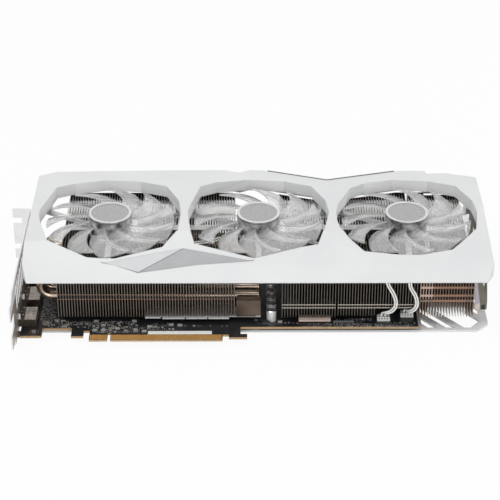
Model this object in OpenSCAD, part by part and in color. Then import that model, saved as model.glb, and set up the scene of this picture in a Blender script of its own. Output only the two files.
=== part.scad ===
// Three-fan graphics card, lying on its backplate with the fans up.
// Lengths run along X from the bracket end, depths along Y away from the edge connector, heights along Z.
// Inside the modules X = 0 is the key notch, Y = 0 the edge contacts' tips and Z = 0 the board's top face.

/* [Board] */
// Thickness of the circuit board
board_t = 1.57; // [1.4:0.01:1.8]
// Board's reach from the key notch to the bracket end
board_left = 57; // [55:0.1:57.5]
// Board's reach from the key notch to its far end
board_right = 198.6; // [190:0.1:200]
// Depth of the board behind the edge contacts' tips
board_depth = 106; // [104:0.5:110]
// Place of the front edge beside the edge connector
board_front = 14.3; // [13:0.1:15]
// Width of the key notch
key_w = 1.9; // [1.8:0.05:2]
// Length of the short row of contacts
finger_a = 11.65; // [11.5:0.05:11.8]
// Length of the long row of contacts
finger_b = 71.65; // [71.5:0.05:71.8]

/* [Chips] */
// Place of the graphics chip along the card
chip_x = 38; // [34:0.5:39]
// Place of the graphics chip across the card
chip_y = 64; // [60:0.5:66]
// Side of the chip's square package
package_w = 42; // [36:0.5:44]
// Thickness of the package
package_t = 1.3; // [1:0.05:1.6]
// Thickness of the bare die
die_t = 0.8; // [0.6:0.05:1]
// Thickness of a memory chip
memory_t = 1.1; // [0.9:0.05:1.3]
// Diameter of a capacitor can
can_d = 6.3; // [5:0.1:8]
// Height of a capacitor can
can_h = 7.5; // [6:0.5:11]

/* [Cooler] */
// Thickness of the cold plate
cold_t = 4; // [3.5:0.1:5]
// Diameter of a heat pipe
pipe_d = 6; // [5:0.1:6.2]
// Spacing of the heat pipes
pipe_pitch = 10; // [9:0.1:10.4]
// Rise of a heat pipe between its two runs
pipe_rise = 14; // [13:0.1:15]
// Spacing of the fins
fin_pitch = 1.8; // [1.4:0.01:2.2]
// Thickness of a fin
fin_t = 0.5; // [0.3:0.05:0.6]
// Place of the fins' front edges
fin_front = 21; // [20.5:0.1:21.5]
// Place of the fins' rear edges
fin_rear = 133; // [128:0.5:134]
// Height of the fins' top edges
fin_top = 33; // [32:0.1:33.2]

/* [Fans] */
// Place of the middle fan along the card
fan_mid_x = 95.9; // [94:0.1:98]
// Spacing of the fans
fan_pitch = 98; // [97:0.1:99]
// Place of the fans across the card
fan_y = 77.2; // [76:0.1:78.5]
// Radius of the blade tips
fan_r = 42.6; // [38:0.1:43.2]
// Radius of the hub
hub_r = 14.2; // [13.5:0.1:15]
// Number of blades
blade_count = 11; // [7:1:13]
// Forward sweep of a blade from root to tip, in degrees
blade_sweep = 30; // [15:1:40]
// Thickness of a blade
blade_t = 1.1; // [0.9:0.05:1.4]
// Diameter of the fan shaft
shaft_d = 3; // [2:0.1:3.4]
// Radial running clearance of the shaft
shaft_fit = 0.04; // [0.02:0.01:0.08]

/* [Shroud] */
// Length of the shroud
shroud_len = 299.8; // [298:0.1:302]
// Shroud's reach from the key notch to the bracket end
shroud_left = 54.4; // [54:0.1:55]
// Place of the rearmost edge
rear_y = 138.4; // [136:0.1:142]
// Height of the ridge above the board
top_z = 50; // [49.6:0.1:52]
// Height of the front lip
lip_z = 33.6; // [33.4:0.1:35]
// Place of the front lip
lip_y = 13.5; // [12.5:0.1:13.8]
// Wall of the shroud
wall = 2.4; // [1.8:0.1:2.6]
// Depth of the walls round the fan openings, below the ridge
duct_z = 10; // [8:0.5:12.4]

/* [Bracket] */
// Thickness of the bracket's sheet
bracket_t = 0.9; // [0.8:0.02:1]
// Bracket's outer face, from the key notch
bracket_x = 59.6; // [59:0.1:60]
// Length of the bracket from tongue tip to flange
bracket_len = 120; // [118:0.1:122]
// Place of the flange
flange_y = 106; // [105:0.1:108]
// Reach of the flange
flange_len = 11.4; // [10.5:0.1:12]
// Width of the bracket over two slots
bracket_w = 38.7; // [38:0.1:39.2]

/* [Backplate] */
// Thickness of the backplate
back_t = 1.5; // [1.2:0.1:2]
// Room between the board and the backplate
back_gap = 2.9; // [2.8:0.1:3.5]
// Width of the backplate's slanted slots
slot_w = 4.6; // [4:0.1:7]

/* [Hidden] */
$fn = 48;

// General clearances and small sizes
fit = 0.1;
gap = 0.2;
thread_fit = 0.03;
sheet = 1.2;
far = 700;

// Heights
board_z = -board_t;
back_z = board_z - back_gap;
rest_z = back_z - back_t;
chip_z = package_t + die_t;
cold_z = chip_z + cold_t;

// Overall reach, for the origin under the middle of the card
shroud_right = shroud_len - shroud_left;
tongue_y = flange_y - bracket_len;
mid_x = (shroud_right - bracket_x - flange_len) / 2;
mid_y = (rear_y + tongue_y) / 2;
module card() translate([-mid_x, -mid_y, -rest_z]) children();

// Board outline: bracket tab, notch, small tab, short contacts, key, long contacts, hook
tab_y = 4.3;
tab_len = 13.8;
notch_y = 12.9;
finger_y = 10;
key_y = 7.4;
key_l = key_w / 2;
hook_x = key_l + finger_b + 4;
hook_y = 2.3;
hook_neck = 7.5;
hook_len = 11.7;
board_outline = [
    [-board_left, tab_y], [-board_left + tab_len, tab_y], [-board_left + tab_len, notch_y],
    [-key_l - finger_a - 11.7, notch_y],
    [-key_l - finger_a - 11.7, tab_y - 0.4], [-key_l - finger_a - 3.9, tab_y - 0.4],
    [-key_l - finger_a - 3.9, finger_y], [-key_l - finger_a, finger_y], [-key_l - finger_a, 0],
    [-key_l, 0], [-key_l, key_y], [key_l, key_y], [key_l, 0], [key_l + finger_b, 0],
    [key_l + finger_b, hook_y + 3.2], [hook_x, hook_y + 3.2], [hook_x, hook_y], [hook_x + hook_len, hook_y],
    [hook_x + hook_len, hook_y + 4], [hook_x + hook_neck, hook_y + 4], [hook_x + hook_neck, board_front],
    [board_right, board_front], [board_right, board_depth], [-board_left, board_depth]
];

// Edge contacts: one pad a millimetre on both faces
pad_pitch = 1;
pad_w = 0.7;
pad_t = 0.05;
pad_y = [0.4, 5.6];
pads_a = floor(finger_a / pad_pitch);
pads_b = floor(finger_b / pad_pitch);
pad_x = concat(
    [for (i = [0 : pads_a - 1]) -key_l - pad_pitch * (i + 0.6)],
    [for (i = [0 : pads_b - 1]) key_l + pad_pitch * (i + 0.6)]
);

// Screws
screw_r = 1.2;
head_r = 2.4;
head_h = 0.8;
bracket_screw_r = 1.5;
bracket_holes = [[-board_left + 8.5, tab_y + 4.5], [-board_left + 8.5, min(board_depth, flange_y) - 6]];
spring_at = [package_w / 2 + 3.5, package_w / 2 + 6];
spring_holes = [for (i = [-1, 1], j = [-1, 1]) [chip_x + i * spring_at.x, chip_y + j * spring_at.y]];
back_holes = [
    [-board_left + 17, notch_y + 7], [-board_left + 17, board_depth - 8], [chip_x + 52, board_depth - 8],
    [chip_x + 56, board_front + 8], [board_right - 35, board_front + 8], [board_right - 8, board_depth - 8]
];

// Chips and pads round the graphics chip
die_w = [26, 22];
memory_w = [14, 12];
memory_step = 17;
memory_side = package_w / 2 + memory_w.x / 2 + 6;
memory_at = concat(
    [for (i = [-1, 1], j = [-1 : 1]) [chip_x + i * memory_side, chip_y + j * memory_step]],
    [for (i = [-1, 1]) [chip_x + i * 9, chip_y + package_w / 2 + 10]]
);
cold_x = [chip_x - memory_side - 8, chip_x + memory_side + 8];
cold_y = [chip_y - package_w / 2 - 10, chip_y + package_w / 2 + 17];

// Power parts in the middle of the board
choke = [7.5, 7.5, 5];
choke_x = [118, 140];
stage = [5, 6, 0.9];
stage_x = 129;
front_stage_t = 0.5;
front_stages = [125, 132, 139];
front_stage_y = 22.8;
front_pad = [20.6, 6.4, 1.3];
can_x = 104;
can_at = [for (i = [0 : 4]) [can_x, 23 + i * 8]];

// Power sockets at the rear edge, with their mouths to the rear
socket = [20, 14, 11];
socket_x = [118, 142];
socket_y = board_depth + 1 - socket.y;
power_rows = 6;
power_pitch = 8;
power_y = [for (i = [1 : power_rows]) socket_y - 1 - i * power_pitch];
cell = 3.4;
cell_pitch = 4.4;
cell_depth = 11;
pin_w = 0.8;
pin_len = 8;

// Fan headers and plugs under the front edge of the right fins
header_at = [[172.4, 20.6], [187.9, 25.2]];
header_size = [8.4, 4.4, 1.4];
plug_size = [8, 4.2, 1.6];
plug_top = header_size.z + plug_size.z;

// Display sockets behind the bracket
port = [12, 16, 5.6];
port_wall = 0.6;
port_back = 2.5;
port_step = 21.6;
port_at = [for (i = [2 : -1 : 0]) bracket_holes[1].y - 10.2 - i * port_step];
hdmi_y = port_at[0] - 24.2;
hdmi_w = 15;
port_tongue = [9, 11.5, 1.4];
port_tongue_x = -bracket_x + port.x - port_back - port_tongue.x;
window_fit = 0.3;

// Bracket: plate, tongues, flange and the lugs under the board
bracket_z = -2.7;
tongue_w = 10.2;
tongue_len = 12;
slot_pitch = 20.32;
tongue_z = bracket_z + 4.1;
lug = [bracket_x - bracket_t - board_left + 12, 7.5];
flange_notch = 4.4;
flange_notch_depth = 6;
flange_notch_z = 4.4;
vent_w = 4.2;
vent_pitch = 7;
vent_count = 12;
vent_y = 13;
vent_z = [14, bracket_w + bracket_z - 5];

// Cooler: fins, pipes and the frame under the left fins
pipe_r = pipe_d / 2;
pipe_z = cold_z + pipe_r;
pipe_top = pipe_z + pipe_rise;
pipe_y = [for (i = [0 : 5]) chip_y + (i - 2.5) * pipe_pitch];
left_x = [-33.6, 81];
middle_x = [110.6, 145.6];
right_x = [146.7, 198];
end_x = [board_right + 0.7, shroud_right - 10.2];
pipe_turn = left_x[0] - 5.4;
pipe_low_end = 96;
pipe_high_end = end_x[1] - 3;
frame_z = cold_z - 3.5;
frame_t = 1;
frame_x = [22.4, 97];
frame_front = 19.6;
frame_notches = [33, 48.4, 62.9];
frame_notch_w = [1.2, 0.8, 0.8];
frame_step = 76.6;
block_x = [81.4, 97];
block_depth = 5;
block_top = 15.8;
block_chamfer = 3.5;
fin_low = frame_z + frame_t;
fin_over_pipe = pipe_z + pipe_r + gap;
fin_over_pad = front_stage_t + front_pad.z;
fin_over_coil = choke.z + 5;
fin_over_plug = socket.z + 3;
fin_step_y = front_stage_y + 8;
fin_back_y = board_depth - socket.y - 1;
end_low = 3.2;
fin_hang = 4.2;
fin_foot = fin_front + 1.5;
left_tabs = [16.5, 19.9];
left_tab_in = 0.3;
mid_tabs = [9.9, 12.2];
end_tabs = [14.6, 18.6, 24.6];
tab_h = 0.6;
end_tab_h = 1.5;
lip_t = 0.5;
lip_gap = 0.4;
joined_lips = [[fin_front, fin_front + 2.4], [82, 88.5]];
split_lip = [98, 122];
rear_gap = 1.2;
left_bottom = fin_bottom(fin_low, cold_y[0] - gap, fin_over_pipe, cold_y[1] + gap, fin_low);
middle_bottom = concat(
    [[fin_front, fin_hang], [fin_foot, fin_hang], [fin_foot, fin_over_pad]],
    [[fin_step_y, fin_over_pad], [fin_step_y, fin_over_coil], [fin_back_y, fin_over_coil]],
    [[fin_back_y, fin_over_plug]]
);
right_bottom = fin_bottom(fin_hang, fin_step_y, fin_over_coil, fin_back_y, fin_over_plug);
raised_bottom = fin_bottom(fin_over_coil, fin_step_y, fin_over_coil, fin_back_y, fin_over_plug);
end_bottom = fin_bottom(end_low, fin_step_y, end_low, fin_back_y, end_low);
function fin_end(x) = min(fin_rear, lookup(x, rear_line) - wall - rear_gap);

// Fans
fan_x = [fan_mid_x - fan_pitch, fan_mid_x, fan_mid_x + fan_pitch];
shaft_r = shaft_d / 2;
seat_z = fin_top + 1;
seat_t = 1.2;
seat_lip = 1.5;
base_t = 1.4;
base_r = hub_r - 1.2;
base_z = seat_z + seat_t;
hub_z = base_z + base_t + 1;
hub_top = top_z - 0.8;
hub_wall = 1.3;
hub_roof = 1.6;
cap_t = 0.9;
cap_recess = 1.3;
rim_w = 1.9;
boss_r = shaft_r + 1.6;
tube_r = shaft_r + 2.7;
blade_low = hub_z;
blade_high = hub_z + 7.6;
bearing_z = base_z + 0.6;
magnet_t = 1.1;
magnet_gap = 0.1;
stator_gap = 0.8;
stator_z = base_z + base_t + 1.6;
stator_h = 5.5;
motor_screw_at = base_r - 2.6;
motor_screw_r = 0.9;
motor_screw_turns = [0, 120, 240];

// Shroud: openings as seen from above, about each fan's axis
open_left = [
    [-46.5, 4], [-46.5, -4], [-45, -13], [-38, -37.5], [-12, -49.5], [6, -50], [36, -40], [45.5, -24.5],
    [46.6, 0], [45, 16], [36, 37], [18, 44], [-6, 46], [-26.5, 41], [-38.5, 35.5]
];
open_middle = [
    [-46.6, 2], [-46.2, -6], [-44, -26.5], [-41.5, -37], [-3, -50], [28, -40], [38, -37.8], [43, -22],
    [46.6, 0], [45, 16], [36, 37], [18, 44], [-6, 46.5], [-28, 43], [-39, 37], [-45, 11]
];
open_right = [
    [-46.6, 0], [-46.4, -12], [-45, -21.6], [-40, -32], [-30.5, -44], [-8, -47], [5, -47.3], [26, -42.6],
    [35, -31], [44, -18], [46.6, 0], [45, 16], [36, 37], [18, 44], [-6, 46], [-26, 41], [-35.5, 34], [-45, 11]
];
openings = [open_left, open_middle, open_right];
duct_wall = 1.6;
arm_w = 3.6;
arm_t = 2;
arm_angles = [30, 150, 270];
arm_post = [45.8, 51.5];

// Shroud: outline as seen from above, and the planes that slope away from the ridge
ridge_y = 51;
rear_slope = 1.5;
front_slope = 14.4;
left_slope = 19.8;
left_turn = -80.9;
left_ridge = 36.5;
right_slope = 7.7;
right_turn = -52;
right_point = [shroud_right - 7.4, 22.2, top_z - 7.1];
skirt_slope = 47.7;
corner = 5;
left_corner = 3;
corner_y = 8;
vee_x = fan_mid_x + fan_pitch / 2 - 1.9;
vee_depth = 14.4;
vee_right = 0.8;
vee_drop = 3;
vee_turn = [72, 104];
vee_reach = [6, 8];
vee_ridge = [11, 1.9];
trim_in = 4;
vee_w = [vee_x - 44.3, vee_x + 51];
shroud_outline = [
    [-shroud_left + left_corner, lip_y - 1], [shroud_right - corner, lip_y - 1],
    [shroud_right, lip_y + corner_y],
    [shroud_right, rear_y - 11.2], [fan_x[2] + 31.4, rear_y - 5.2], [fan_x[2] + 18, rear_y - 5.8],
    [fan_x[2] + 17, rear_y - 1.6], [vee_w[1], rear_y - vee_right], [vee_x, rear_y - vee_depth],
    [vee_w[0], rear_y],
    [fan_mid_x - 5.7, rear_y], [fan_mid_x - 12.6, rear_y - 3.8], [fan_mid_x - 22.6, rear_y - 0.1],
    [fan_x[0] + 30, rear_y - 0.3], [fan_x[0] - 11, rear_y - 1.2], [fan_x[0] - 41, rear_y - 2.4],
    [-shroud_left, rear_y - 8.4],
    [-shroud_left, lip_y + corner_y]
];
rear_line = [for (p = shroud_outline) if (p.y > fan_y) p];
vee_point = [vee_x, rear_y - vee_depth - vee_ridge[0], top_z - vee_ridge[1]];
trim_x = [vee_w[0] + trim_in, vee_x, vee_w[1] - trim_in];
trim_w = 0.9;
trim_t = 1.5;
trim_z = top_z - 3.7;

// Accent plates: their corners on the shroud's front, and their common low corner
accent_low = [fan_x[0] + 20.9, lip_y + 4.6, lip_z + 5.1];
accent_tip = [fan_x[0] - 2.4, 23.4, top_z - 7.1];
accent_high = [fan_x[0] + 49.4, 36, top_z - 3.9];
accent_end = [fan_x[1] - 3.2, 24.9, top_z - 6.7];
light_face = [accent_tip, accent_low, accent_high];
grey_face = [accent_low, accent_end, accent_high];
accent_t = 1;
accent_back = 1.6;
accent_edge = 0.45;

// Shroud screws and the end bracket behind the right wall
wall_screws = [50, 80, 110];
wall_screw_z = lip_z + 3.2;
screw_recess = 1.2;
wall_bite = wall - screw_recess + gap + sheet;
end_y = [22, 120];
end_leg_y = 88;
end_z = [8, lip_z + 2.4];
end_foot = 10;
end_bend = 15;
end_top = wall_screw_z + 2.6;
end_flange = [
    [-4.4, end_z[0]], [0, end_z[0]], [0, end_bend], [-4, 29.5], [-4, end_z[1]], [-7, end_z[1]],
    [-7, 28.6], [-4.4, 12.4]
];
end_web = [[-7.7, 28.6], [-7.9, 12.4], [-4.4, 12.4], [-7, 28.6]];
end_lug = [[-7.9, end_z[0]], [-4.4, end_z[0]], [-4.4, 12.8], [-7.9, 12.8]];
end_side = [
    [end_y[0], end_z[0]], [end_y[1], end_z[0]], [end_y[1], end_top], [end_y[0] + 14, end_top],
    [end_y[0], end_bend]
];
end_pocket = [3, 3.4, 0.5];
end_window = [20, 12];
end_x_face = shroud_right - wall - gap;

// Backplate outline, slots and the bosses that reach the board
back_front = 17;
back_rear = rear_y - 4.4;
back_left = 45;
back_right = shroud_right - 0.4;
back_corner = 7.5;
slot_x = [board_right + 3, shroud_right - 5.5];
slot_y = [back_front + 3, back_rear - 8];
slot_low = [slot_x[0], slot_y[0]];
slot_pitch_y = 14;
slot_first = 4.7;
slot_wide = 9.6;
slot_turn = -50;
slot_count = 8;
slot_corner = [6.7, 8.2];
boss_d = 6;

// Fan leads: routes from the motor bases to the plugs
lead_r = 1.2;
lead_sides = 8;
lead_z = fin_top + lead_r + 0.3;
lead_from = base_r + seat_lip + 0.1;
lead_end = plug_top + 0.05;
route_right = [
    [fan_x[2] + sin(45) * lead_from, fan_y - sin(45) * lead_from, lead_z], [206.4, 64.7, lead_z],
    [206.6, 57, lead_z], [205.6, 49, lead_z], [204, 41, lead_z], [202, 33.4, lead_z],
    [199.8, 27, lead_z], [197.8, 23.4, lead_z], [195.4, 21, lead_z + 0.2], [193.2, 19, lead_z - 1.2],
    [192.2, 18.3, lead_z - 3.9], [192.6, 18.3, 27.6], [194, 18.3, 24.6], [195.8, 18.3, 21.5],
    [197, 18.3, 17.5], [197.2, 18.3, 14], [196.2, 18.6, 11], [194.2, 19.4, 8.6], [192.6, 21.4, 7.2],
    [191.6, 23.8, 6.4], [191.2, 25.8, 5.8], [191.2, 27, 4.8], [191.2, 27, lead_end]
];
route_middle = [
    [fan_x[1] + cos(20) * lead_from, fan_y - sin(20) * lead_from, lead_z], [113, 71.2, lead_z],
    [120.5, 68.4, lead_z], [128.5, 64.6, lead_z], [136, 59.4, lead_z], [142, 51.6, lead_z],
    [145.4, 42, lead_z], [149.6, 32.6, lead_z], [156, 26.8, lead_z], [165, 24.2, lead_z],
    [172, 22.8, lead_z], [175.2, 21.2, lead_z + 0.2], [177, 19, lead_z - 1.2], [177.8, 18.3, lead_z - 3.9],
    [179.4, 18.3, 27], [181.4, 18.3, 23.4], [183, 18.3, 19.5], [183.8, 18.3, 15.5], [183.2, 18.4, 12],
    [181.2, 18.8, 9], [178.6, 19.8, 7.2], [176.9, 21.2, 6], [176.4, 22.2, 4.8], [176.4, 22.2, lead_end]
];
route_left = [
    [fan_x[0] + cos(20) * lead_from, fan_y - sin(20) * lead_from, lead_z], [15, 71.2, lead_z],
    [23, 67.6, lead_z], [34.4, 63, lead_z], [46.9, 61, lead_z], [59.4, 63, lead_z],
    [70.8, 67.6, lead_z], [78.8, 71.2, lead_z],
    [fan_x[1] - cos(20) * lead_from, fan_y - sin(20) * lead_from, lead_z]
];

// Polygon moved inwards by d, for outlines that run anticlockwise
function unit(v) = v / norm(v);
function left_of(v) = [-v.y, v.x];
function inset(p, d) = let (n = len(p)) [
    for (i = [0 : n - 1])
        let (
            a = left_of(unit(p[i] - p[(i + n - 1) % n])),
            b = left_of(unit(p[(i + 1) % n] - p[i])),
            m = unit(a + b)
        ) p[i] + m * d / (m * a)
];

// Tube swept along a route: one ring of points at each route point
function along(p, i) = unit(p[min(i + 1, len(p) - 1)] - p[max(i - 1, 0)]);
function across(t) = unit(cross(t, abs(t.z) > 0.8 ? [0, 1, 0] : [0, 0, 1]));
function ring(p, i, r, n) = let (t = along(p, i), a = cross(across(t), t), b = across(t)) [
    for (k = [0 : n - 1]) p[i] + r * (cos(360 * k / n) * a + sin(360 * k / n) * b)
];
module tube(p, r, n) {
    last = len(p) - 1;
    polyhedron(
        [for (i = [0 : last]) each ring(p, i, r, n)],
        concat(
            [[for (k = [0 : n - 1]) k]],
            [for (i = [0 : last - 1], k = [0 : n - 1]) each [
                [i * n + k, (i + 1) * n + k, i * n + (k + 1) % n],
                [i * n + (k + 1) % n, (i + 1) * n + k, (i + 1) * n + (k + 1) % n]
            ]],
            [[for (k = [n - 1 : -1 : 0]) last * n + k]]
        )
    );
}

// Upright prism over a sloping triangle, between two levels measured square to it
function face_normal(f) = unit(cross(f[1] - f[0], f[2] - f[0]));
module over_face(f, low, high) {
    n = face_normal(f);
    turn = atan2(n.y, n.x);
    slope = acos(n.z);
    intersection() {
        linear_extrude(2 * top_z) polygon([for (p = f) [p.x, p.y]]);
        below(f[0], turn, slope, -high);
        above(f[0], turn, slope, low);
    }
}
function shrunk(f, d) = let (c = (f[0] + f[1] + f[2]) / 3) [for (p = f) p + unit(c - p) * d];

// Everything below a plane through p that falls by slope degrees towards turn
module below(p, turn, slope, t) translate(p) rotate([0, 0, turn]) rotate([0, slope, 0])
    translate([-far, -far, -far - t]) cube([2 * far, 2 * far, far]);
module above(p, turn, slope, t) translate(p) rotate([0, 0, turn]) rotate([0, slope, 0])
    translate([-far, -far, t]) cube([2 * far, 2 * far, far]);
module box(low, high) translate(low) cube(high - low);
module upright(x0, t) translate([x0, 0, 0]) rotate([90, 0, 90]) linear_extrude(t) children();
module bolt(p, head_z, up, length, r) translate([p.x, p.y, head_z]) {
    translate([0, 0, up > 0 ? -head_h : 0]) cylinder(r = head_r, h = head_h);
    translate([0, 0, up > 0 ? 0 : -length]) cylinder(r = r, h = length);
}

module board() color("#17181b") card() translate([0, 0, board_z]) linear_extrude(board_t) difference() {
    polygon(board_outline);
    for (p = bracket_holes) translate(p) circle(bracket_screw_r + fit);
    for (p = concat(spring_holes, back_holes)) translate(p) circle(screw_r + fit);
}

module edge_contacts() color("#c99a4a") card() for (z = [0, board_z - pad_t], x = pad_x)
    translate([x - pad_w / 2, pad_y[0], z]) cube([pad_w, pad_y[1] - pad_y[0], pad_t]);

module graphics_chip() color("#2c5a3c") card() translate([chip_x - package_w / 2, chip_y - package_w / 2, 0])
    cube([package_w, package_w, package_t]);

module graphics_die() color("#4a4d55") card()
    translate([chip_x - die_w.x / 2, chip_y - die_w.y / 2, package_t]) cube([die_w.x, die_w.y, die_t]);

module memory_chips() color("#202124") card() for (p = memory_at)
    translate([p.x - memory_w.x / 2, p.y - memory_w.y / 2, 0]) cube([memory_w.x, memory_w.y, memory_t]);

module power_stages() color("#26272a") card() {
    for (y = power_y) translate([stage_x - stage.x / 2, y - stage.y / 2, 0]) cube(stage);
    for (x = front_stages) translate([x - stage.x / 2, front_stage_y - stage.y / 2, 0])
        cube([stage.x, stage.y, front_stage_t]);
}

module chokes() color("#5b5c60") card() for (x = choke_x, y = power_y)
    translate([x - choke.x / 2, y - choke.y / 2, 0]) cube(choke);

module capacitors() color("#c8c9cc") card() for (p = can_at)
    translate([p.x, p.y, 0]) cylinder(d = can_d, h = can_h);

// Small parts in rows on the board's front margin, sized by their place in the row
module small_part(x, y, i) translate([x, y, 0])
    cube([1.2 + 0.8 * (i % 3), 0.9 + 0.3 * (i % 2), 0.6 + 0.3 * (i % 4)]);
module surface_parts() color("#8d8578") card() {
    for (i = [0 : 6]) small_part(-board_left + 34 + 4.2 * i, notch_y + 1.5, i);
    for (i = [0 : 15]) small_part(6 + 4.1 * i, finger_y + 1.2, i + 1);
    for (i = [0 : 13]) small_part(8 + 4.9 * i, notch_y + 1.4, i + 2);
    for (i = [0 : 15]) small_part(hook_x + 15 + 4.3 * i, board_front + 0.9, i + 3);
    for (i = [0 : 4]) small_part(-board_left + 16 + 4.5 * i, notch_y + 1.2, i);
}

module thermal_pads() color("#c9a89b") card() {
    for (p = memory_at) translate([p.x - memory_w.x / 2, p.y - memory_w.y / 2, memory_t])
        cube([memory_w.x, memory_w.y, chip_z - memory_t]);
    translate([front_stages[1] - front_pad.x / 2, front_stage_y - front_pad.y / 2, front_stage_t])
        cube(front_pad);
}

function socket_cell(x, i, j) =
    [x + socket.x / 2 + (i - 1.5) * cell_pitch, socket.z / 2 + (j - 0.5) * cell_pitch];
cell_y = socket_y + socket.y - cell_depth;
module power_sockets() color("#1d1d1f") card() for (x = socket_x) difference() {
    translate([x, socket_y, 0]) cube(socket);
    for (i = [0 : 3], j = [0, 1]) {
        c = socket_cell(x, i, j);
        translate([c.x - cell / 2, cell_y, c.y - cell / 2]) cube([cell, cell_depth + 1, cell]);
    }
}

module power_pins() color("#c0a060") card() for (x = socket_x, i = [0 : 3], j = [0, 1]) {
    c = socket_cell(x, i, j);
    translate([c.x - pin_w / 2, cell_y, c.y - pin_w / 2]) cube([pin_w, pin_len, pin_w]);
}

module fan_headers() color("#e6e2d8") card() for (p = header_at)
    translate([p.x, p.y, 0]) cube(header_size);

module fan_plugs() color("#f2f2f0") card() for (p = header_at)
    translate([p.x + fit, p.y + fit, header_size.z]) cube(plug_size);

module fan_lead_right() color("#f4f4f2") card() tube(route_right, lead_r, lead_sides);
module fan_lead_middle() color("#f4f4f2") card() tube(route_middle, lead_r, lead_sides);
module fan_lead_left() color("#f4f4f2") card() tube(route_left, lead_r, lead_sides);

bracket_in = -bracket_x + bracket_t;
module port_window(y, w) translate([y - w / 2 - window_fit, -window_fit])
    square([w + 2 * window_fit, port.z + 2 * window_fit]);
module io_bracket() color("#c3c4c6") card() {
    upright(-bracket_x, bracket_t) difference() {
        union() {
            translate([tongue_y + tongue_len, bracket_z]) square([bracket_len - tongue_len, bracket_w]);
            for (i = [0, 1]) translate([tongue_y, tongue_z + i * slot_pitch])
                square([tongue_len + 1, tongue_w]);
        }
        for (y = port_at) port_window(y, port.y);
        port_window(hdmi_y, hdmi_w);
        for (i = [0 : vent_count - 1]) translate([vent_y + i * vent_pitch, vent_z[0]])
            square([vent_w, vent_z[1] - vent_z[0]]);
    }
    difference() {
        translate([-bracket_x - flange_len, flange_y - bracket_t, bracket_z])
            cube([flange_len + bracket_t, bracket_t, bracket_w]);
        for (i = [0, 1], z = flange_notch_z + i * slot_pitch)
            translate([-bracket_x - flange_len - 1, flange_y - bracket_t - 1, z])
                cube([flange_notch_depth + 1, bracket_t + 2, flange_notch]);
    }
    for (p = bracket_holes) difference() {
        translate([bracket_in, p.y - lug.y / 2, board_z - bracket_t]) cube([lug.x, lug.y, bracket_t]);
        translate([p.x, p.y, board_z - 2 * bracket_t]) cylinder(r = bracket_screw_r + fit, h = 3 * bracket_t);
    }
}

module bracket_screws() color("#b8b9bb") card() for (p = bracket_holes)
    bolt(p, board_z - bracket_t, 1, bracket_t + board_t + 0.6, bracket_screw_r);

module port_shell(y, w) difference() {
    translate([-bracket_x, y - w / 2, 0]) cube([port.x, w, port.z]);
    translate([-bracket_x - 1, y - w / 2 + port_wall, port_wall])
        cube([port.x - port_back + 1, w - 2 * port_wall, port.z - 2 * port_wall]);
}
module display_sockets() color("#b9bbbd") card() for (y = port_at) port_shell(y, port.y);
module hdmi_socket() color("#b9bbbd") card() port_shell(hdmi_y, hdmi_w);
module socket_tongues() color("#1b1b1c") card() for (y = concat([hdmi_y], port_at))
    translate([port_tongue_x, y - port_tongue.y / 2, (port.z - port_tongue.z) / 2]) cube(port_tongue);

module back_outline() polygon([
    [-back_left, back_front], [back_right - back_corner, back_front], [back_right, back_front + back_corner],
    [back_right, back_rear - 2 * back_corner], [back_right - 2 * back_corner, back_rear],
    [-back_left, back_rear]
]);
module slanted_slot(y, w) translate([slot_x[0], y]) rotate([0, 0, slot_turn])
    translate([-far / 2, 0]) square([far, w]);
module backplate() color("#cfd0d2") card() {
    difference() {
        translate([0, 0, rest_z]) linear_extrude(back_t) difference() {
            back_outline();
            intersection() {
                polygon([
                    slot_low, [slot_x[1] - slot_corner.x, slot_low.y],
                    [slot_x[1], slot_low.y + slot_corner.y], [slot_x[1], slot_y[1]], [slot_x[0], slot_y[1]]
                ]);
                for (i = [0 : slot_count]) slanted_slot(slot_low.y + slot_first + i * slot_pitch_y,
                    i == 2 ? slot_wide : slot_w);
            }
        }
        for (p = back_holes) {
            translate([p.x, p.y, rest_z - 1]) cylinder(r = screw_r + fit, h = back_t + 2);
            translate([p.x, p.y, rest_z - 1]) cylinder(r = head_r + fit, h = head_h + 1);
        }
    }
    for (p = back_holes) translate([p.x, p.y, back_z]) difference() {
        cylinder(d = boss_d, h = back_gap);
        translate([0, 0, -1]) cylinder(r = screw_r + fit, h = back_gap + 2);
    }
}

module backplate_screws() color("#8f9194") card() for (p = back_holes)
    bolt(p, rest_z + head_h, 1, back_t - head_h + back_gap + board_t, screw_r);

spring_z = board_z - 2;
spring_t = 0.9;
spring_w = 7;
spring_eye_r = 4.5;
spring_ring = [6, 11];
module spring_outline() difference() {
    union() {
        for (k = [0, 1]) {
            d = spring_holes[3 - k] - spring_holes[k];
            translate([chip_x, chip_y]) rotate([0, 0, atan2(d.y, d.x)])
                square([norm(d), spring_w], center = true);
        }
        for (p = spring_holes) translate(p) circle(spring_eye_r);
        translate([chip_x, chip_y]) circle(spring_ring[1]);
    }
    for (p = spring_holes) translate(p) circle(screw_r + fit);
    translate([chip_x, chip_y]) circle(spring_ring[0]);
}
module cross_spring() color("#a9abad") card()
    translate([0, 0, spring_z]) linear_extrude(spring_t) spring_outline();

spring_bite = 3;
module spring_screws() color("#d0d1d3") card() for (p = spring_holes)
    bolt(p, spring_z, 1, chip_z - spring_z + spring_bite, screw_r);

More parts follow.
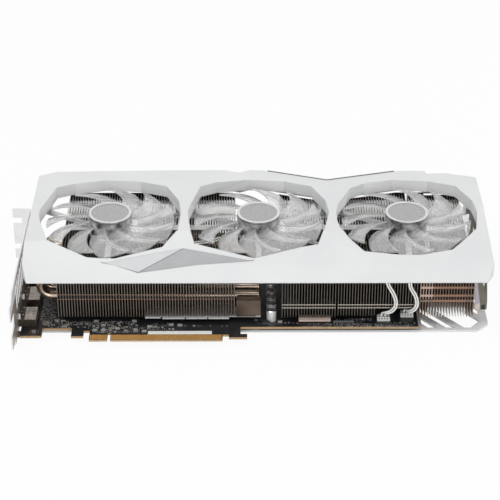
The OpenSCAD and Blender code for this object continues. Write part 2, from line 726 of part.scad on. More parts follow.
module end_plate(p, y, t) translate([end_x_face, y + t, 0]) rotate([90, 0, 0]) linear_extrude(t) polygon(p);
module end_bracket() color("#7d7c72") card() {
    difference() {
        union() {
            upright(end_x_face - sheet, sheet) polygon(end_side);
            box([end_x_face - sheet, end_leg_y, back_z], [end_x_face, end_y[1], end_z[1]]);
        }
        for (i = [0 : 2]) translate([end_x_face - 2 * sheet, end_y[0] + 9 + i * 26, end_z[0] + 7])
            cube([3 * sheet, end_window.x, end_window.y]);
        for (y = wall_screws) translate([end_x_face - 2 * sheet, y, wall_screw_z]) rotate([0, 90, 0])
            cylinder(r = screw_r + fit, h = 3 * sheet);
    }
    box([end_x_face - end_foot, end_leg_y, back_z], [end_x_face, end_y[1], back_z + sheet]);
    difference() {
        end_plate(end_flange, end_y[0], sheet);
        translate([end_x_face - end_pocket.x - 0.4, end_y[0] - 1, end_z[0] + 0.4])
            cube([end_pocket.x, end_pocket.z + 1, end_pocket.y]);
    }
    end_plate(end_web, end_y[0] + 0.4, sheet - 0.4);
    end_plate(end_lug, end_y[0] + 0.2, sheet - 0.2);
}

module cold_plate() color("#c58b62") card() difference() {
    box([cold_x[0], cold_y[0], chip_z], [cold_x[1], cold_y[1], cold_z]);
    for (p = spring_holes) translate([p.x, p.y, chip_z - 1])
        cylinder(r = screw_r + thread_fit, h = spring_bite + 1.3);
}

module base_frame() color("#b4b5b7") card() translate([0, 0, frame_z]) linear_extrude(frame_t) difference() {
    polygon([
        [frame_x[0], frame_front + 0.8], [frame_notches[0], frame_front + 0.8],
        [frame_notches[0], frame_front], [frame_step, frame_front], [frame_step, fin_front + 1],
        [frame_x[1], fin_front + 1],
        [frame_x[1], fin_front + block_depth + 2], [cold_x[1], cold_y[0]], [frame_x[0], cold_y[0]]
    ]);
    for (i = [0 : 2]) translate([frame_notches[i] - frame_notch_w[i] / 2, frame_front - 1])
        square([frame_notch_w[i], fin_front - frame_front + 2]);
}

module side_block() color("#9b7b62") card()
    translate([0, fin_front + block_depth, fin_low]) rotate([90, 0, 0]) linear_extrude(block_depth) polygon([
        [block_x[0], 0], [block_x[1] - block_chamfer, 0], [block_x[1], block_chamfer],
        [block_x[1], block_top - fin_low], [block_x[0], block_top - fin_low]
    ]);

module heat_pipes() color("#b98a68") card() for (y = pipe_y) {
    translate([pipe_turn, y, pipe_z]) rotate([0, 90, 0])
        cylinder(r = pipe_r, h = pipe_low_end - pipe_turn);
    translate([pipe_turn, y, pipe_top]) rotate([0, 90, 0])
        cylinder(r = pipe_r, h = pipe_high_end - pipe_turn);
    translate([pipe_turn, y, (pipe_z + pipe_top) / 2]) rotate([90, 0, 0]) rotate([0, 0, 90])
        rotate_extrude(angle = 180) translate([pipe_rise / 2, 0]) circle(pipe_r);
}

// One fin stack: the fins, joined by folded lips at the top and by rows of tabs at the front
module fin_stack(x, tab_rows, tab_h, tab_in, low, raised, raise_x) {
    count = floor((x[1] - x[0] - fin_t) / fin_pitch);
    reach = count * fin_pitch + fin_t;
    for (i = [0 : count]) {
        x_i = x[0] + i * fin_pitch;
        back = min(fin_end(x_i), fin_end(x_i + fin_t));
        bottom = x_i < raise_x ? low : raised;
        back_low = bottom[len(bottom) - 1].y;
        upright(x_i, fin_t) difference() {
            polygon(concat(bottom, [[back, back_low], [back, fin_top], [fin_front, fin_top]]));
            for (y = pipe_y) translate([y, pipe_top]) circle(pipe_r + fit);
        }
        if (i < count) box([x_i, split_lip[0], fin_top - lip_t],
            [x_i + fin_pitch - lip_gap, split_lip[1], fin_top]);
    }
    for (l = joined_lips) box([x[0], l[0], fin_top - lip_t], [x[0] + reach, l[1], fin_top]);
    for (z = tab_rows) box([x[0], fin_front + tab_in, z],
        [x[0] + reach, fin_front + tab_in + lip_t, z + tab_h]);
}
function fin_bottom(low, y_a, mid, y_b, back) = [
    [fin_front, low], [y_a, low], [y_a, mid], [y_b, mid], [y_b, back]
];
module fins_left() color("#8a8078") card()
    fin_stack(left_x, left_tabs, tab_h, left_tab_in, left_bottom, left_bottom, far);
module fins_middle() color("#8a8078") card()
    fin_stack(middle_x, mid_tabs, tab_h, 0, middle_bottom, middle_bottom, far);
module fins_right() color("#8a8078") card()
    fin_stack(right_x, mid_tabs, tab_h, 0, right_bottom, raised_bottom, header_at[0].x - 1.2);
module fins_end() color("#8a8078") card()
    fin_stack(end_x, end_tabs, end_tab_h, 0, end_bottom, end_bottom, far);

// Solid bounded by the shroud's outer planes, all moved inwards by t
module shroud_block(t, low) intersection() {
    translate([0, 0, low]) linear_extrude(top_z - low + 1) polygon(inset(shroud_outline, t));
    below([0, ridge_y, top_z], 90, rear_slope, t);
    union() {
        below([0, ridge_y, top_z], -90, front_slope, t);
        below([-shroud_left, left_ridge, top_z], left_turn, left_slope, t);
    }
    below(right_point, right_turn, right_slope, t);
    below([0, lip_y, lip_z], -90, skirt_slope, t);
}
module at_fan(i) translate([fan_x[i], fan_y, 0]) children();
module rear_facet(p, turn, slope, x) intersection() {
    above(p, turn, slope, 0);
    box([x[0], 0, 0], [x[1], 2 * rear_y, 2 * top_z]);
}
module spider(opening) {
    translate([0, 0, seat_z]) difference() {
        cylinder(r = base_r + seat_lip, h = seat_t);
        for (a = motor_screw_turns) rotate(a) translate([motor_screw_at, 0, -1])
            cylinder(r = motor_screw_r + fit, h = seat_t + 2);
    }
    for (a = arm_angles) rotate(a) {
        translate([base_r + 1, -arm_w / 2, seat_z])
            cube([arm_post[1] - base_r - 1, arm_w, arm_t]);
    }
    difference() {
        for (a = arm_angles) rotate(a) translate([arm_post[0], -arm_w / 2, seat_z])
            cube([arm_post[1] - arm_post[0], arm_w, top_z - seat_z]);
        translate([0, 0, seat_z + arm_t]) linear_extrude(top_z) polygon(opening);
    }
}
module shroud() color("#dfe0e0") card() difference() {
    union() {
        difference() {
            shroud_block(0, lip_z);
            shroud_block(wall, lip_z - 1);
            for (i = [0 : 2]) at_fan(i) translate([0, 0, lip_z]) linear_extrude(top_z) polygon(openings[i]);
        }
        intersection() {
            shroud_block(wall / 2, fin_top);
            union() for (i = [0 : 2]) at_fan(i) {
                translate([0, 0, top_z - duct_z]) linear_extrude(duct_z) difference() {
                    polygon(inset(openings[i], -duct_wall));
                    polygon(openings[i]);
                }
                spider(openings[i]);
            }
        }
        for (f = [light_face, grey_face]) intersection() {
            over_face(f, -accent_t - accent_back, 0);
            shroud_block(0, lip_z);
        }
    }
    for (f = [light_face, grey_face]) over_face(f, -accent_t, top_z);
    for (y = wall_screws) translate([shroud_right, y, wall_screw_z]) rotate([0, -90, 0]) {
        translate([0, 0, -1]) cylinder(r = screw_r + fit, h = wall + 2);
        translate([0, 0, -1]) cylinder(r = head_r + fit, h = screw_recess + 1);
    }
    rear_facet(vee_point, vee_turn[0], vee_drop, [vee_w[0] - vee_reach[0], vee_x]);
    rear_facet(vee_point, vee_turn[1], vee_drop, [vee_x, vee_w[1] + vee_reach[1]]);
}

module accent_light() color("#d4d5d5") card() over_face(shrunk(light_face, accent_edge), -accent_t, 0);
module accent_grey() color("#aeb0b0") card() over_face(shrunk(grey_face, accent_edge), -accent_t, 0);

module rear_trim() color("#6d6f70") card() translate([0, 0, trim_z]) linear_extrude(trim_t) polygon([
    for (x = trim_x) [x, lookup(x, rear_line)],
    for (i = [2 : -1 : 0]) [trim_x[i], lookup(trim_x[i], rear_line) + trim_w]
]);

module shroud_screws() color("#d9dadb") card() for (y = wall_screws)
    translate([shroud_right - screw_recess, y, wall_screw_z]) rotate([0, 90, 0]) {
        cylinder(r = head_r, h = head_h);
        translate([0, 0, -wall_bite]) cylinder(r = screw_r, h = wall_bite);
    }

module motor_screws() color("#9a9b9d") card() for (i = [0 : 2], a = motor_screw_turns) at_fan(i) rotate(a)
    translate([motor_screw_at, 0, 0]) {
        translate([0, 0, seat_z - head_h]) cylinder(r = 2 * motor_screw_r, h = head_h);
        translate([0, 0, seat_z]) cylinder(r = motor_screw_r, h = seat_t + base_t - 0.3);
    }

// Blade: a thin cambered sheet; v runs from the leading to the trailing edge, u from root to tip
blade_rows = 6;
blade_cols = 4;
blade_root = hub_r - hub_wall / 2;
chord_root = 34;
chord_tip = 25;
function blade_point(u, v, side) = let (
    r = blade_root + u * (fan_r - blade_root),
    lead = blade_sweep * pow(u, 1.4),
    angle = lead - v * (chord_root + u * (chord_tip - chord_root)),
    rise = blade_high - blade_low - 2 * blade_t - 1.2 * u,
    z = blade_high - blade_t - 0.6 * u - rise * (0.75 * v + 0.25 * v * v) + side * blade_t / 2
) [r * cos(angle), r * sin(angle), z];
function blade_index(side, i, j) = side * (blade_rows + 1) * (blade_cols + 1) + i * (blade_cols + 1) + j;
blade_points = [
    for (s = [-1, 1], i = [0 : blade_rows], j = [0 : blade_cols])
        blade_point(i / blade_rows, j / blade_cols, s)
];
function quad(a, b, c, d) = [[a, c, b], [a, d, c]];
blade_faces = concat(
    [for (i = [0 : blade_rows - 1], j = [0 : blade_cols - 1]) each quad(
        blade_index(1, i, j), blade_index(1, i, j + 1),
        blade_index(1, i + 1, j + 1), blade_index(1, i + 1, j))],
    [for (i = [0 : blade_rows - 1], j = [0 : blade_cols - 1]) each quad(
        blade_index(0, i, j), blade_index(0, i + 1, j),
        blade_index(0, i + 1, j + 1), blade_index(0, i, j + 1))],
    [for (i = [0 : blade_rows - 1]) each quad(
        blade_index(0, i, 0), blade_index(1, i, 0), blade_index(1, i + 1, 0), blade_index(0, i + 1, 0))],
    [for (i = [0 : blade_rows - 1], j = [blade_cols]) each quad(
        blade_index(0, i, j), blade_index(0, i + 1, j), blade_index(1, i + 1, j), blade_index(1, i, j))],
    [for (j = [0 : blade_cols - 1]) each quad(
        blade_index(0, 0, j), blade_index(0, 0, j + 1), blade_index(1, 0, j + 1), blade_index(1, 0, j))],
    [for (j = [0 : blade_cols - 1], i = [blade_rows]) each quad(
        blade_index(0, i, j), blade_index(1, i, j), blade_index(1, i, j + 1), blade_index(0, i, j + 1))]
);

boss_low = hub_top - cap_recess - hub_roof - 3;
module rotor() difference() {
    union() {
        rotate_extrude() polygon([
            [shaft_r + thread_fit, boss_low], [boss_r, boss_low], [boss_r, hub_top - cap_recess - hub_roof],
            [hub_r - hub_wall, hub_top - cap_recess - hub_roof], [hub_r - hub_wall, hub_z], [hub_r, hub_z],
            [hub_r, hub_top], [hub_r - rim_w, hub_top], [hub_r - rim_w, hub_top - cap_recess],
            [shaft_r + thread_fit, hub_top - cap_recess]
        ]);
        for (k = [0 : blade_count - 1]) rotate(360 * k / blade_count) polyhedron(blade_points, blade_faces);
    }
    translate([0, 0, hub_z - 1]) cylinder(r = hub_r - hub_wall, h = boss_low - hub_z);
}
module cap() translate([0, 0, hub_top - cap_recess]) cylinder(r = hub_r - rim_w - fit, h = cap_t);
module shaft() translate([0, 0, bearing_z + gap])
    cylinder(r = shaft_r, h = hub_top - cap_recess - bearing_z - 2 * gap);
module magnet() translate([0, 0, hub_z + 0.4]) difference() {
    cylinder(r = hub_r - hub_wall - magnet_gap, h = 6.5);
    translate([0, 0, -1]) cylinder(r = hub_r - hub_wall - magnet_gap - magnet_t, h = 8.5);
}
module base() difference() {
    union() {
        translate([0, 0, base_z]) cylinder(r = base_r, h = base_t);
        translate([0, 0, base_z]) cylinder(r = tube_r, h = boss_low - gap - base_z);
    }
    translate([0, 0, bearing_z]) cylinder(r = shaft_r + shaft_fit, h = far);
    for (a = motor_screw_turns) rotate(a) translate([motor_screw_at, 0, base_z - 1])
        cylinder(r = motor_screw_r + thread_fit, h = base_t + 1 - 0.2);
}
module stator() translate([0, 0, stator_z]) difference() {
    cylinder(r = hub_r - hub_wall - magnet_gap - magnet_t - stator_gap, h = stator_h);
    translate([0, 0, -1]) cylinder(r = tube_r + fit, h = stator_h + 2);
    for (a = [0 : 60 : 300]) rotate(a) translate([tube_r + 1.6, -1, -1]) cube([hub_r, 2, stator_h + 2]);
}

blade_tint = "#e4e6e8";
metal_tint = "#b9bcc0";
module fan_left_rotor() color(blade_tint) card() at_fan(0) rotor();
module fan_left_cap() color(metal_tint) card() at_fan(0) cap();
module fan_left_shaft() color("silver") card() at_fan(0) shaft();
module fan_left_magnet() color("#3a3a3c") card() at_fan(0) magnet();
module fan_left_base() color("#2a2a2c") card() at_fan(0) base();
module fan_left_stator() color("#a8643a") card() at_fan(0) stator();
module fan_middle_rotor() color(blade_tint) card() at_fan(1) rotor();
module fan_middle_cap() color(metal_tint) card() at_fan(1) cap();
module fan_middle_shaft() color("silver") card() at_fan(1) shaft();
module fan_middle_magnet() color("#3a3a3c") card() at_fan(1) magnet();
module fan_middle_base() color("#2a2a2c") card() at_fan(1) base();
module fan_middle_stator() color("#a8643a") card() at_fan(1) stator();
module fan_right_rotor() color(blade_tint) card() at_fan(2) rotor();
module fan_right_cap() color(metal_tint) card() at_fan(2) cap();
module fan_right_shaft() color("silver") card() at_fan(2) shaft();
module fan_right_magnet() color("#3a3a3c") card() at_fan(2) magnet();
module fan_right_base() color("#2a2a2c") card() at_fan(2) base();
module fan_right_stator() color("#a8643a") card() at_fan(2) stator();

board();
edge_contacts();
graphics_chip();
graphics_die();
memory_chips();
power_stages();
chokes();
capacitors();
surface_parts();
thermal_pads();
power_sockets();
power_pins();
fan_headers();
fan_plugs();
fan_lead_right();
fan_lead_middle();
fan_lead_left();
io_bracket();
bracket_screws();
display_sockets();
hdmi_socket();
socket_tongues();
backplate();
backplate_screws();
cross_spring();
spring_screws();
end_bracket();
cold_plate();
base_frame();
side_block();
heat_pipes();
fins_left();
fins_middle();
fins_right();
fins_end();
shroud();
accent_light();
accent_grey();
rear_trim();
shroud_screws();
motor_screws();
fan_left_rotor();
fan_left_cap();
fan_left_shaft();
fan_left_magnet();
fan_left_base();
fan_left_stator();
fan_middle_rotor();
fan_middle_cap();
fan_middle_shaft();
fan_middle_magnet();
fan_middle_base();
fan_middle_stator();
fan_right_rotor();
fan_right_cap();
fan_right_shaft();
fan_right_magnet();
fan_right_base();
fan_right_stator();
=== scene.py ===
import bpy
import math
import random
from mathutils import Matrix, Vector


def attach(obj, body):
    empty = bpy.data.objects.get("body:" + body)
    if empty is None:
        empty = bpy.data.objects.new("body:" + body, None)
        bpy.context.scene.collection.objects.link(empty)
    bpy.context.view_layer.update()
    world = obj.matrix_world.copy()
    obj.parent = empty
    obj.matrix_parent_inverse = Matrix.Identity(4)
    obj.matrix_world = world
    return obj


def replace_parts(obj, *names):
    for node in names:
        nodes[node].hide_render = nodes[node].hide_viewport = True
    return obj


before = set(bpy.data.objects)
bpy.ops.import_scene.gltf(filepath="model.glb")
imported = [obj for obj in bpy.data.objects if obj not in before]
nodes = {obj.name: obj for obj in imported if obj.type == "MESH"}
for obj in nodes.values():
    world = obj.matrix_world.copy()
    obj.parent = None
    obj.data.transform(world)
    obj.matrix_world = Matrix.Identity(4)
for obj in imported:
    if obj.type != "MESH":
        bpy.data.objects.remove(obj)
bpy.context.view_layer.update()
scene = bpy.context.scene

# Card coordinates are in mm: X from the key notch, Y from the contact tips, Z from the board's top
MID = Vector((87.2, 62.2, -5.97))  # the card point that lies at the frame's origin
MM = 1000  # to a metre
TURN = 2 * math.pi
FANS = ("fan_left", "fan_middle", "fan_right")
FAN_X = (-2.1, 95.9, 193.9)
FAN_Y = 77.2


def at(x, y, z):
    """A card point as a point of the frame, in metres."""
    return (Vector((x, y, z)) - MID) / MM


def card_point(o, point):
    """A point of a CAD node's mesh as a card point."""
    return o.matrix_world @ point * MM + MID


def circle(centre, radius, z, sides):
    """Points of the frame round a card point."""
    angles = [TURN * k / sides for k in range(sides)]
    return [at(centre[0] + radius * math.cos(a), centre[1] + radius * math.sin(a), z)
            for a in angles]


def srgb(r, g, b):
    """An sRGB colour, 0 to 255, as linear RGBA."""
    def one(v):
        v /= 255
        return v / 12.92 if v <= 0.04045 else ((v + 0.055) / 1.055) ** 2.4
    return (one(r), one(g), one(b), 1.0)


def operate(tree, kind, *values):
    """A math node fed with sockets or numbers; gives its output."""
    node = tree.nodes.new("ShaderNodeMath")
    node.operation = kind
    for socket, value in zip(node.inputs, values):
        if isinstance(value, bpy.types.NodeSocket):
            tree.links.new(value, socket)
        else:
            socket.default_value = value
    return node.outputs[0]


CLOUD_STOPS, CLOUD_DETAIL, GRAIN_DETAIL = (0.3, 0.7), 4, 3
COAT_ROUGH, BEVEL_SAMPLES = 0.15, 4
MIX_A, MIX_B, MIX_OUT = 6, 7, 2  # the colour sockets of the Mix node


def material(name, low, high, rough, metal=0.0, scale=70.0, fine=1500.0, bump=0.05,
             depth=0.0002, coat=0.0, bevel=0.0, transmission=0.0, ior=1.5, bands=()):
    """A surface clouded between two sRGB colours, with fine roughness and bump of its own.

    bands are ((low z, high z, low x, high x), colour): stretches of another colour, in card mm.
    """
    m = bpy.data.materials.new(name)
    m.use_nodes = True
    tree = m.node_tree
    new, link = tree.nodes.new, tree.links.new
    shader = tree.nodes["Principled BSDF"]
    shader.inputs["Metallic"].default_value = metal
    shader.inputs["Coat Weight"].default_value = coat
    shader.inputs["Coat Roughness"].default_value = COAT_ROUGH
    shader.inputs["Transmission Weight"].default_value = transmission
    shader.inputs["IOR"].default_value = ior
    where = new("ShaderNodeTexCoord").outputs["Object"]

    def noise(size, detail):
        node = new("ShaderNodeTexNoise")
        node.inputs["Scale"].default_value = size
        node.inputs["Detail"].default_value = detail
        link(where, node.inputs["Vector"])
        return node.outputs["Fac"]

    ramp = new("ShaderNodeValToRGB")
    for stop, position, tone in zip(ramp.color_ramp.elements, CLOUD_STOPS, (low, high)):
        stop.position = position
        stop.color = srgb(*tone)
    link(noise(scale, CLOUD_DETAIL), ramp.inputs["Fac"])
    colour = ramp.outputs["Color"]
    if bands:
        axes = new("ShaderNodeSeparateXYZ")
        link(where, axes.inputs["Vector"])
    for (z0, z1, x0, x1), tint in bands:
        inside = [operate(tree, "COMPARE", axes.outputs[axis],
                          ((lo + hi) / 2 - middle) / MM, (hi - lo) / 2 / MM)
                  for axis, lo, hi, middle in (("Z", z0, z1, MID.z), ("X", x0, x1, MID.x))]
        mix = new("ShaderNodeMix")
        mix.data_type = "RGBA"
        link(operate(tree, "MULTIPLY", *inside), mix.inputs["Factor"])
        link(colour, mix.inputs[MIX_A])
        mix.inputs[MIX_B].default_value = srgb(*tint)
        colour = mix.outputs[MIX_OUT]
    link(colour, shader.inputs["Base Color"])

    grain = noise(fine, GRAIN_DETAIL)
    span = new("ShaderNodeMapRange")
    span.inputs["To Min"].default_value, span.inputs["To Max"].default_value = rough
    link(grain, span.inputs["Value"])
    link(span.outputs["Result"], shader.inputs["Roughness"])
    lumps = new("ShaderNodeBump")
    lumps.inputs["Strength"].default_value = bump
    lumps.inputs["Distance"].default_value = depth
    link(grain, lumps.inputs["Height"])
    if bevel:
        soft = new("ShaderNodeBevel")
        soft.samples = BEVEL_SAMPLES
        soft.inputs["Radius"].default_value = bevel
        link(soft.outputs["Normal"], lumps.inputs["Normal"])
    link(lumps.outputs["Normal"], shader.inputs["Normal"])
    return m


# Stretches of another colour on the bracket and the fins
# Painted shade: the foot of the bracket's inner face, where the board shades it and shows in it
BRACKET_FOOT_SHADE = (-6, 26, -62, -50)
PALE_LINES = [(z, z + 0.6, 100, 200) for z in (9.9, 12.2)]
# Painted light: the end fins' lower parts are near-white where light falls on them from below
END_FOOT_LIGHT = (0, 10.4, 204, 229)
END_CORNER = (17, 31, 199, 207.6)
COPPER_LINES = [(z, z + 1.5, 207.6, 229) for z in (14.6, 18.6, 24.6)]

LOOKS = {
    # Cover
    "shroud": material("shroud_white", (226, 227, 228), (232, 233, 233), (0.34, 0.46),
                       bevel=0.0006, scale=25),
    # Painted light: the shroud's own plastic drawn brighter on the duct walls
    "duct_lit": material("duct_painted_light", (244, 244, 245), (249, 249, 249), (0.4, 0.5), scale=25),
    # Painted shade: the dark grey in the accent plates' pocket and on their front sides
    "pocket_shade": material("pocket_shade_grey", (84, 85, 86), (100, 101, 102), (0.5, 0.6)),
    "accent_light": material("accent_pale", (205, 207, 208), (214, 215, 216), (0.3, 0.45),
                             bevel=0.0003),
    "accent_grey": material("accent_mid_grey", (170, 172, 173), (180, 181, 182), (0.3, 0.45),
                            bevel=0.0003),
    # Painted shade: the grey of the strips along the accent plates' lower edges
    "accent_edge": material("accent_edge_grey", (150, 152, 153), (164, 165, 166), (0.4, 0.55)),
    # Dark grey trim; as the rings under the hubs it is painted shade in their groove
    "trim": material("dark_trim_and_groove_shade", (84, 85, 87), (100, 101, 103), (0.4, 0.55)),
    # Fans
    "blade": material("blade_frosted", (240, 241, 242), (254, 254, 254), (0.0, 0.04),
                      transmission=0.78, coat=1.0, fine=70, scale=150, ior=1.47, bump=0.5,
                      depth=0.0025),
    # Painted highlight: the blades' upright edges drawn pale and less clear
    "blade_edge_highlight": material("blade_edge_painted_highlight", (240, 241, 242), (250, 250, 250), (0.1, 0.2),
                           transmission=0.2, coat=0.5, scale=120),
    "hub": material("hub_clear", (92, 91, 93), (252, 252, 252), (0.03, 0.15), coat=1.0, scale=190,
                    transmission=0.35, fine=160, bump=0.8, depth=0.002),
    "hub_rim": material("hub_rim_white", (214, 214, 215), (226, 226, 227), (0.25, 0.4), scale=200),
    "hub_cap": material("hub_disc_silver", (164, 163, 164), (184, 183, 184), (0.3, 0.42),
                        metal=0.7, scale=900),
    "copper": material("winding_copper", (150, 88, 52), (176, 108, 66), (0.3, 0.45), metal=0.9,
                       fine=3000),
    "magnet": material("magnet_black", (36, 36, 38), (48, 48, 50), (0.55, 0.7)),
    # Bracket, sockets and screws
    "bracket": material("bracket_plated", (226, 226, 226), (236, 236, 236), (0.1, 0.2), metal=0.95,
                        scale=90),
    # Painted light and shade: a pale matte copy of the plated steel for the inner faces, darker at
    # the foot
    "bracket_inner_light_shade": material("bracket_inside_painted_light", (236, 236, 235), (245, 245, 244), (0.3, 0.4),
                              metal=0.1, scale=90, bands=[(BRACKET_FOOT_SHADE, (158, 149, 139))]),
    "shell": material("port_shell", (152, 143, 133), (208, 200, 191), (0.2, 0.36), metal=0.6,
                      scale=340),
    # Painted shade: a darker copy of the shell's steel for its faces that face the front
    "shell_front_shade": material("port_shell_front_painted_shade", (62, 54, 48), (84, 74, 66), (0.3, 0.45), metal=0.4,
                           scale=340),
    "steel": material("plated_steel", (186, 187, 189), (206, 207, 209), (0.25, 0.42), metal=0.9,
                      scale=120),
    # Cooler
    "fin": material("fin_side", (46, 39, 33), (64, 55, 48), (0.4, 0.55), metal=0.5, scale=90),
    "fin_fold": material("fin_rear_fold", (82, 64, 56), (108, 86, 76), (0.4, 0.55), metal=0.3,
                         scale=200),
    "fin_edge": material("fin_front_edge", (116, 107, 98), (138, 128, 118), (0.34, 0.5), metal=0.4,
                         scale=300),
    "fin_edge_dark": material("fin_front_dark", (86, 80, 73), (106, 100, 90), (0.34, 0.5),
                              metal=0.4, scale=300,
                              bands=[(line, (190, 182, 170)) for line in PALE_LINES]),
    # The near-white foot on the end fins is painted light
    "fin_end": material("fin_end_side", (128, 104, 91), (152, 125, 110), (0.4, 0.55), metal=0.4,
                        scale=90,
                        bands=[(END_FOOT_LIGHT, (216, 214, 211)), (END_CORNER, (170, 146, 132))]),
    "fin_end_edge": material("fin_end_front", (112, 94, 83), (136, 116, 103), (0.34, 0.5),
                             metal=0.4, scale=300,
                             bands=[(END_FOOT_LIGHT, (222, 220, 217)), (END_CORNER, (196, 170, 154))]
                             + [(line, (150, 113, 93)) for line in COPPER_LINES]),
    # Silver finish with painted light: near-white for the fins' lit folded lips
    "fin_lip_lit": material("fin_lip_silver_and_light", (240, 239, 236), (249, 248, 246), (0.3, 0.45), metal=0.1,
                        scale=200),
    "fin_tab": material("fin_tab_copper", (112, 82, 64), (136, 102, 82), (0.3, 0.45), metal=0.5,
                        scale=200),
    "pipe": material("plated_pipe", (176, 158, 142), (204, 188, 172), (0.18, 0.32), metal=0.95,
                     scale=60),
    "block": material("block_nickel", (85, 75, 66), (113, 99, 87), (0.24, 0.4), metal=0.85,
                      scale=90),
    "frame": material("frame_cast", (218, 218, 218), (236, 236, 236), (0.35, 0.5), metal=0.2,
                      scale=160),
    "pad": material("pad_soft", (222, 197, 186), (236, 212, 202), (0.7, 0.85), scale=300,
                    bump=0.2),
    # Board and what stands on it
    "board": material("board_black", (20, 21, 24), (30, 31, 34), (0.35, 0.5), scale=200, fine=2500,
                      coat=0.2),
    "laminate": material("board_laminate", (176, 142, 102), (202, 170, 128), (0.5, 0.65),
                         scale=500),
    "gold": material("contact_gold", (218, 160, 84), (238, 188, 112), (0.25, 0.4), metal=0.4,
                     scale=400),
    "gold_base": material("contact_underlay", (146, 104, 58), (174, 128, 76), (0.4, 0.55),
                          scale=500),
    "chip": material("chip_black", (30, 30, 32), (40, 40, 42), (0.4, 0.55), scale=300),
    "chip_green": material("carrier_green", (34, 66, 44), (44, 80, 54), (0.35, 0.5), scale=300),
    "die": material("die_grey", (70, 74, 84), (90, 94, 104), (0.08, 0.15), metal=0.4),
    "choke": material("choke_grey", (96, 97, 100), (116, 117, 120), (0.5, 0.65), fine=3000,
                      bump=0.15),
    # Painted light and shade: the same bare aluminium, near-white and matte on the sides, darker
    # on top
    "can": material("can_side_painted_light", (232, 232, 233), (244, 244, 245), (0.26, 0.4), metal=0.3,
                    scale=200),
    "can_rim": material("can_rolled_rim", (240, 240, 240), (250, 250, 250), (0.1, 0.2), metal=1.0,
                        scale=200),
    "can_top": material("can_top_painted_shade", (100, 98, 96), (124, 122, 120), (0.3, 0.45), metal=0.6,
                        scale=300),
    "part": material("part_ceramic", (118, 110, 100), (158, 150, 138), (0.4, 0.6), scale=900),
    "part_grey": material("part_pale", (150, 148, 144), (186, 184, 178), (0.4, 0.55), scale=900),
    "part_brown": material("part_amber", (120, 92, 64), (148, 116, 84), (0.4, 0.55), scale=900),
    "tin": material("solder_tin", (172, 172, 170), (200, 200, 198), (0.25, 0.4), metal=0.8,
                    scale=900),
    "black": material("socket_black", (28, 28, 30), (38, 38, 40), (0.42, 0.56), scale=200),
    "white": material("plug_white", (242, 241, 238), (250, 249, 246), (0.38, 0.5), scale=300),
    "lead": material("lead_white", (249, 249, 247), (254, 254, 252), (0.42, 0.55), scale=500),
    # Backplate and end bracket
    "backplate": material("backplate_satin", (240, 240, 241), (248, 248, 248), (0.32, 0.46),
                          scale=60),
    "olive": material("end_coated", (104, 102, 92), (124, 121, 110), (0.4, 0.55), metal=0.3),
    "web": material("end_web_pale", (176, 170, 178), (194, 188, 194), (0.35, 0.5), metal=0.2,
                    scale=200),
    "lug": material("end_lug_beige", (208, 196, 188), (222, 212, 204), (0.45, 0.6), scale=200),
}

# CAD nodes of a single look; the others are painted face by face below
NODE_LOOKS = {
    "edge_contacts": "gold", "graphics_chip": "chip_green", "graphics_die": "die",
    "memory_chips": "chip", "power_stages": "chip", "chokes": "choke", "surface_parts": "part",
    "thermal_pads": "pad", "power_sockets": "black", "power_pins": "gold", "fan_headers": "white",
    "fan_plugs": "white", "fan_lead_right": "lead", "fan_lead_middle": "lead",
    "fan_lead_left": "lead", "bracket_screws": "steel", "socket_tongues": "black",
    "backplate": "backplate", "backplate_screws": "steel", "cross_spring": "steel",
    "spring_screws": "steel", "cold_plate": "block", "base_frame": "frame", "side_block": "block",
    "heat_pipes": "pipe", "rear_trim": "trim", "shroud_screws": "steel", "motor_screws": "steel",
}
FAN_LOOKS = {"cap": "hub_cap", "shaft": "steel", "magnet": "magnet", "base": "black",
             "stator": "copper"}
for fan in FANS:
    NODE_LOOKS.update({fan + "_" + part: look for part, look in FAN_LOOKS.items()})


def dress(name, looks):
    """Gives a CAD node these materials in place of its own."""
    slots = nodes[name].data.materials
    slots.clear()
    for look in looks:
        slots.append(LOOKS[look])


def paint(name, looks, pick):
    """Gives each face of a CAD node one of several looks, by its card point and its direction."""
    dress(name, looks)
    o = nodes[name]
    for face in o.data.polygons:
        face.material_index = looks.index(pick(card_point(o, face.center), face.normal))


